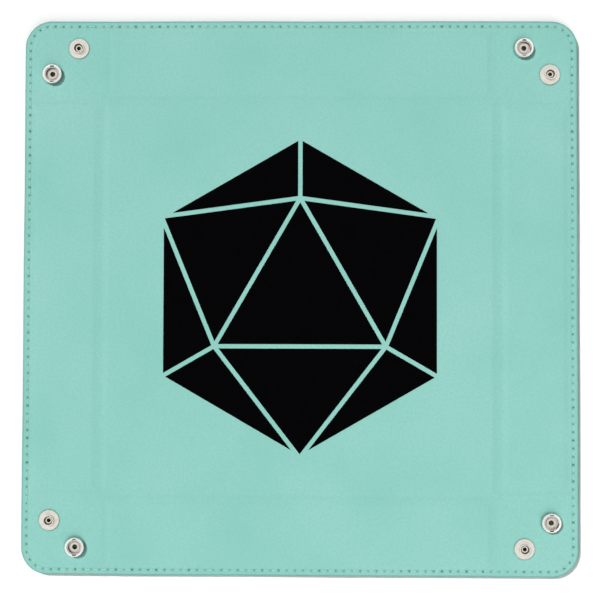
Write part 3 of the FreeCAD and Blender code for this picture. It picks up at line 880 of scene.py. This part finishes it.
def build_skins():
    """The sheets and their seam, wall by wall."""
    base = base_skin().mesh("base_skin")
    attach(base, "base")
    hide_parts("base_inner_leather", "base_outer_leather")
    wall = wall_skin()
    crossing = end_skin()
    ears = {end: ear_skin(rivet_centre(end, mirror)) for end, mirror in ENDS}
    web = corner_web()
    for quarter, name in enumerate(WALLS):
        skin = wall.mesh(f"{name}_wall_skin", False, quarter)
        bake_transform(skin)
        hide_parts(f"{name}_wall_inner_leather", f"{name}_wall_outer_leather")
        gusset = new_piece(f"{name}_corner_web", *web, "leatherette", False, quarter)
        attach(gusset, "base")
        for end, mirror in ENDS:
            build_end(name, end, mirror, quarter, crossing, ears[end])
        build_stitching(name, quarter)


def build_end(name, end, mirror, quarter, crossing, ear):
    """The skins of a wall's end: the stretch across its ear's crease, and the ear."""
    own = f"{name}_{end}"
    strip = crossing.mesh(f"{own}_crease_skin", mirror, quarter)
    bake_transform(strip)
    skin = ear.mesh(f"{own}_ear_skin", mirror, quarter)
    blend_fold(skin)
    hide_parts(f"{own}_ear_leather", f"{own}_fold_leather")


def blend_fold(piece):
    """Bakes a piece of an ear's placement into its mesh, flat as it lies."""
    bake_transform(piece)


def build_stitching(name, quarter):
    """The seam along one wall: the wall's own stitches, and at each end those of the crease and the ear."""
    spans = spans_between(0, WALL_END)
    (x, y), _ = spans[0]
    spans += [((-a, b), (-c, d)) for (a, b), (c, d) in spans] + [((-x, y), (x, y))]
    rows = stitching(f"{name}_wall_stitches", spans, False, quarter, quarter)
    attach(rows, f"{name}_wall")
    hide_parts(f"{name}_wall_thread")
    for end, mirror in ENDS:
        own = f"{name}_{end}"
        seed = 10 + 2 * quarter + mirror
        spans = spans_between(WALL_END, EAR_START)
        crossing = stitching(f"{own}_crease_stitches", spans, mirror, quarter, seed)
        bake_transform(crossing)
        spans = spans_between(EAR_START, HALF) + diagonal_span()
        rows = stitching(f"{own}_ear_stitches", spans, mirror, quarter, seed + 20)
        blend_fold(rows)
        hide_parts(f"{own}_ear_thread")


def dress_cad_nodes():
    """Gives every CAD node that still shows its own finish."""
    for name, node in frame["nodes"].items():
        slot = next(s["material_slot"] for s in frame["record"]["subparts"] if s["node"] == name)
        material = METAL.get(name.split("_")[-1]) or MATERIALS[slot]
        node.data.materials.clear()
        node.data.materials.append(material)


def light(name, kind, place, energy):
    """A lamp aimed at the tray. Metal doesn't mirror it: metal shows the studio's walls and ceiling alone."""
    lamp = bpy.data.lights.new(name, kind)
    lamp.energy = energy
    lamp_object = bpy.data.objects.new(name, lamp)
    lamp_object.visible_glossy = False
    lamp_object.location = place
    lamp_object.rotation_euler = (-Vector(place)).to_track_quat("-Z", "Y").to_euler()
    bpy.context.scene.collection.objects.link(lamp_object)
    return lamp


def build_studio():
    """A sheet of white paper and three soft lamps."""
    bpy.ops.mesh.primitive_plane_add(size=30, location=(0, 0, -0.0002))
    floor = bpy.context.object
    floor.name = "floor"
    floor.data.materials.append(paper_floor())
    light("key", "SUN", (-3.2, 2.8, 6.6), 2.85).angle = math.radians(5.8)
    light("fill", "AREA", (0.25, -1.35, 1.5), 30).size = 2.4
    # The floor hides this one: it lights the tray from below only once the floor is taken away.
    light("under", "AREA", (-0.9, -1.1, -1.6), 85).size = 2.0
    build_sky()
    bpy.context.scene.view_settings.view_transform = "Standard"


def build_sky():
    """What metal mirrors: a white ceiling that falls off to grey walls. The lamps do the lighting."""
    world = bpy.data.worlds.new("studio")
    bpy.context.scene.world = world
    world.use_nodes = True
    tree = world.node_tree
    place = tree.nodes.new("ShaderNodeTexCoord")
    split = tree.nodes.new("ShaderNodeSeparateXYZ")
    fade = tree.nodes.new("ShaderNodeMapRange")
    fade.interpolation_type = "SMOOTHSTEP"
    for key, value in (("From Min", 0.5), ("From Max", 0.86), ("To Min", 0.42), ("To Max", 1.0)):
        fade.inputs[key].default_value = value
    tree.links.new(place.outputs["Generated"], split.inputs["Vector"])
    tree.links.new(split.outputs["Z"], fade.inputs["Value"])
    tree.links.new(fade.outputs["Result"], tree.nodes["Background"].inputs["Color"])
    tree.nodes["Background"].inputs["Strength"].default_value = 1.0
    world.cycles_visibility.diffuse = False


def build_camera():
    """Above the tray, leaning two degrees off the vertical towards its near right corner."""
    camera = bpy.data.cameras.new("camera")
    camera.lens, camera.sensor_width = 80, 36
    camera.clip_start, camera.clip_end = 0.01, 20
    camera_object = bpy.data.objects.new("camera", camera)
    camera_object.location = (0.0088, -0.01835, 0.5512)
    camera_object.rotation_euler = [math.radians(angle) for angle in (1.785, 0.912, 0.186)]
    bpy.context.scene.collection.objects.link(camera_object)
    bpy.context.scene.camera = camera_object


build_camera()
build_studio()
build_skins()
dress_cad_nodes()
